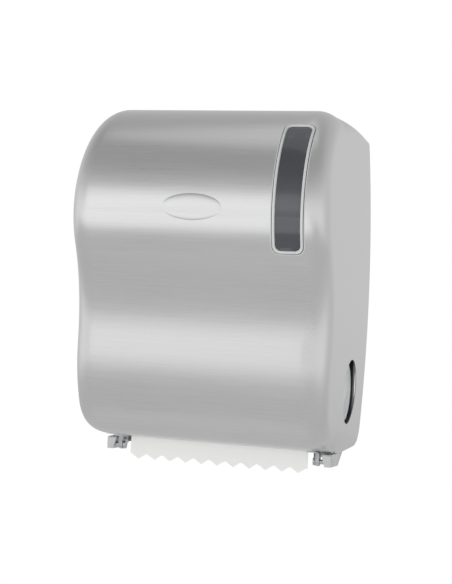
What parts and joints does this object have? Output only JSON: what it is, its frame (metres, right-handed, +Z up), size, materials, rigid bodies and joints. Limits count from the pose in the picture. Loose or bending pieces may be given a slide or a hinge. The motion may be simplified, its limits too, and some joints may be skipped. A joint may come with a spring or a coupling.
{
  "type": "roll towel dispenser",
  "caption": "Wall-mounted roll towel dispenser with a bulged steel cover, a level window, a feed drum with a knife inside, and a hand wheel.",
  "frame": {"origin": "on the chassis's wall face, on the centre line, level with the cover's bottom edge", "axes": "+Z up; the wall is the plane Y = 0 and the front faces -Y; +X is to the right of a person in front, where the hand wheel and the window are"},
  "size_m": [0.2714, 0.2517, 0.3786],
  "materials": {
    "satin_steel": "satin stainless steel",
    "plain_steel": "zinc-plated steel",
    "bright_metal": "bright plated",
    "chassis_plastic": "moulded, fine texture",
    "lug_plastic": "moulded, glossy",
    "bush_plastic": "moulded acetal",
    "drum_plastic": "moulded",
    "wheel_plastic": "moulded, light grey",
    "bezel_plastic": "light grey, glossy",
    "smoked_plastic": "smoked, clear",
    "grip_rubber": "matt rubber",
    "core_board": "wound board",
    "towel_paper": "soft embossed paper"
  },
  "bodies": {
    "chassis": {"back_plate": "chassis_plastic", "right_side_frame": "chassis_plastic", "left_side_frame": "chassis_plastic", "right_hinge_lug": "lug_plastic", "left_hinge_lug": "lug_plastic", "right_hinge_pin": "plain_steel", "left_hinge_pin": "plain_steel", "frame_screws": "plain_steel", "lock_catch": "plain_steel", "paper_chute": "chassis_plastic", "right_drum_bush": "bush_plastic", "left_drum_bush": "bush_plastic", "knife_cam": "bush_plastic", "spring_anchor": "plain_steel", "return_spring": "plain_steel", "spring_housing": "chassis_plastic", "pinch_pivot_rod": "plain_steel", "pinch_springs": "plain_steel", "left_roll_arm": "chassis_plastic", "left_roll_spigot": "wheel_plastic", "arm_bracket": "plain_steel", "arm_pin": "plain_steel", "towel_web": "towel_paper"},
    "cover": {"cover_shell": "satin_steel", "window_bezel": "bezel_plastic", "window_lens": "smoked_plastic", "badge_plate": "satin_steel", "right_cover_ear": "plain_steel", "left_cover_ear": "plain_steel", "lock_barrel": "bright_metal"},
    "lock": {"lock_plug": "bright_metal", "lock_tongue": "plain_steel"},
    "drum": {"drum_shell": "drum_plastic", "right_drum_end": "drum_plastic", "left_drum_end": "drum_plastic", "drum_grip_rings": "grip_rubber", "feed_wheel": "wheel_plastic", "return_crank": "bush_plastic"},
    "knife": {"knife_carrier": "drum_plastic", "knife_blade": "plain_steel", "cam_follower": "bush_plastic"},
    "pinch_frame": {"right_pinch_arm": "plain_steel", "left_pinch_arm": "plain_steel"},
    "pinch_roller": {"pinch_shaft": "plain_steel", "pinch_sleeves": "grip_rubber"},
    "right_arm": {"right_roll_arm": "chassis_plastic", "right_roll_spigot": "wheel_plastic"},
    "roll": {"roll_core": "core_board", "towel_roll": "towel_paper"}
  },
  "joints": [
    {"name": "cover_hinge", "type": "hinge", "parent": "chassis", "child": "cover", "pos_m": [0, -0.118, -0.008], "axis": [1, 0, 0], "range_deg": [0, 90]},
    {"name": "lock_turn", "type": "hinge", "parent": "cover", "child": "lock", "pos_m": [0, -0.034, 0.34], "axis": [0, 0, 1], "range_deg": [0, 90]},
    {"name": "drum_spin", "type": "hinge", "parent": "chassis", "child": "drum", "pos_m": [0, -0.0816, 0.065], "axis": [1, 0, 0], "continuous": true, "deforming": ["return_spring"]},
    {"name": "knife_swing", "type": "hinge", "parent": "drum", "child": "knife", "pos_m": [0, -0.06178, 0.05732], "axis": [1, 0, 0], "range_deg": [0, 35]},
    {"name": "pinch_swing", "type": "hinge", "parent": "chassis", "child": "pinch_frame", "pos_m": [0, -0.02376, 0.0708], "axis": [-1, 0, 0], "range_deg": [0, 4], "stiffness_Nm_per_rad": 3, "springref_deg": -5.73, "deforming": ["towel_web"]},
    {"name": "pinch_spin", "type": "hinge", "parent": "pinch_frame", "child": "pinch_roller", "pos_m": [0, -0.04978, 0.09682], "axis": [1, 0, 0], "continuous": true},
    {"name": "right_arm_swing", "type": "hinge", "parent": "chassis", "child": "right_arm", "pos_m": [0.1095, -0.016, 0.24], "axis": [0, 0, 1], "range_deg": [0, 6], "stiffness_Nm_per_rad": 1, "springref_deg": -5.73},
    {"name": "roll_spin", "type": "hinge", "parent": "chassis", "child": "roll", "pos_m": [0, -0.138, 0.24], "axis": [1, 0, 0], "continuous": true}
  ],
  "couplings": [
    {"joint": "pinch_spin", "follows": "drum_spin", "ratio": -3.712}
  ]
}
